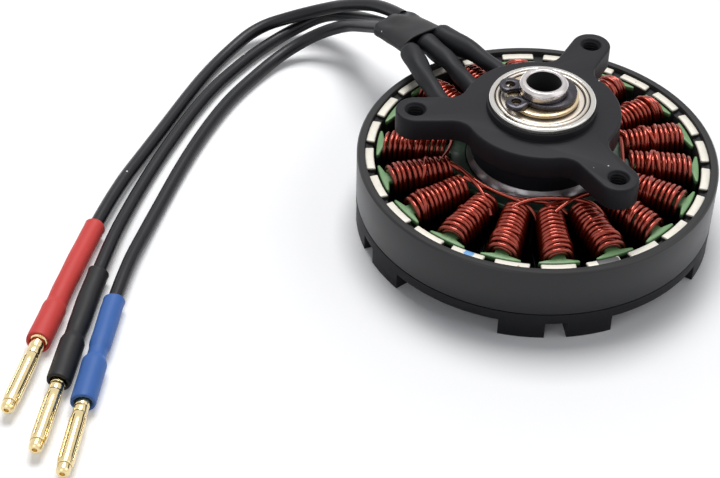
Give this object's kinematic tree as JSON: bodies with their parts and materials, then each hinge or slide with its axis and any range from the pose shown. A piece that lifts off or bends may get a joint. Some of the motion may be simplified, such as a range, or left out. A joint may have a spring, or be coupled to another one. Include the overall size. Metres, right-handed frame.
{
  "type": "brushless outrunner motor",
  "caption": "Brushless outrunner motor with a three-arm mount, open copper windings, a ring bell with lugs, and three leads with bullet plugs.",
  "frame": {"origin": "on the shaft's axis, level with the feet of the bell's lugs", "axes": "+Z along the shaft towards the mount arms; -X and +Y towards the side where the leads leave"},
  "size_m": [0.1344, 0.15, 0.036],
  "materials": {
    "black_anodise": "satin black anodised",
    "ring_black": "black coated steel",
    "magnet_nickel": "dull nickel plate",
    "core_green": "green powder coat",
    "copper_enamel": "enamelled copper wire",
    "bearing_steel": "ground steel",
    "shield_steel": "pressed steel",
    "cage_steel": "pressed steel",
    "shaft_steel": "turned steel",
    "spring_steel": "black phosphated spring steel",
    "shim_brass": "brass",
    "screw_black": "black oxide",
    "tail_sleeving": "black woven sleeving",
    "shrink_black": "black heat-shrink",
    "shrink_red": "red heat-shrink",
    "shrink_blue": "blue heat-shrink",
    "lead_rubber": "black silicone",
    "gold_plate": "gold plate"
  },
  "bodies": {
    "stator": {"motor_mount": "black_anodise", "stator_core": "core_green", "winding_phase_u": "copper_enamel", "winding_phase_v": "copper_enamel", "winding_phase_w": "copper_enamel", "winding_links": "copper_enamel", "upper_bearing_outer_ring": "bearing_steel", "upper_bearing_top_shield": "shield_steel", "upper_bearing_bottom_shield": "shield_steel", "lower_bearing_outer_ring": "bearing_steel", "lower_bearing_top_shield": "shield_steel", "lower_bearing_bottom_shield": "shield_steel", "red_tail": "tail_sleeving", "black_tail": "tail_sleeving", "blue_tail": "tail_sleeving", "bundle_sleeve": "shrink_black", "black_sleeve": "shrink_black", "red_sleeve": "shrink_red", "blue_sleeve": "shrink_blue", "red_lead": "lead_rubber", "black_lead": "lead_rubber", "blue_lead": "lead_rubber", "red_pin": "gold_plate", "black_pin": "gold_plate", "blue_pin": "gold_plate", "red_pin_spring": "gold_plate", "black_pin_spring": "gold_plate", "blue_pin_spring": "gold_plate"},
    "rotor": {"flux_ring": "ring_black", "bell_face": "black_anodise", "north_magnets": "magnet_nickel", "south_magnets": "magnet_nickel", "bell_grub_screws": "screw_black", "shaft": "shaft_steel", "brass_shim": "shim_brass", "lower_spacer": "shaft_steel", "circlip": "spring_steel", "upper_bearing_inner_ring": "bearing_steel", "lower_bearing_inner_ring": "bearing_steel"},
    "upper_cage": {"upper_bearing_balls": "bearing_steel", "upper_bearing_cage": "cage_steel"},
    "lower_cage": {"lower_bearing_balls": "bearing_steel", "lower_bearing_cage": "cage_steel"}
  },
  "joints": [
    {"name": "rotor_spin", "type": "hinge", "parent": "stator", "child": "rotor", "pos_m": [0, 0, 0.018], "axis": [0, 0, 1], "continuous": true},
    {"name": "upper_cage_spin", "type": "hinge", "parent": "stator", "child": "upper_cage", "pos_m": [0, 0, 0.02885], "axis": [0, 0, 1], "continuous": true},
    {"name": "lower_cage_spin", "type": "hinge", "parent": "stator", "child": "lower_cage", "pos_m": [0, 0, 0.0105], "axis": [0, 0, 1], "continuous": true}
  ],
  "couplings": [
    {"joint": "upper_cage_spin", "follows": "rotor_spin", "ratio": 0.40625},
    {"joint": "lower_cage_spin", "follows": "rotor_spin", "ratio": 0.40625}
  ]
}
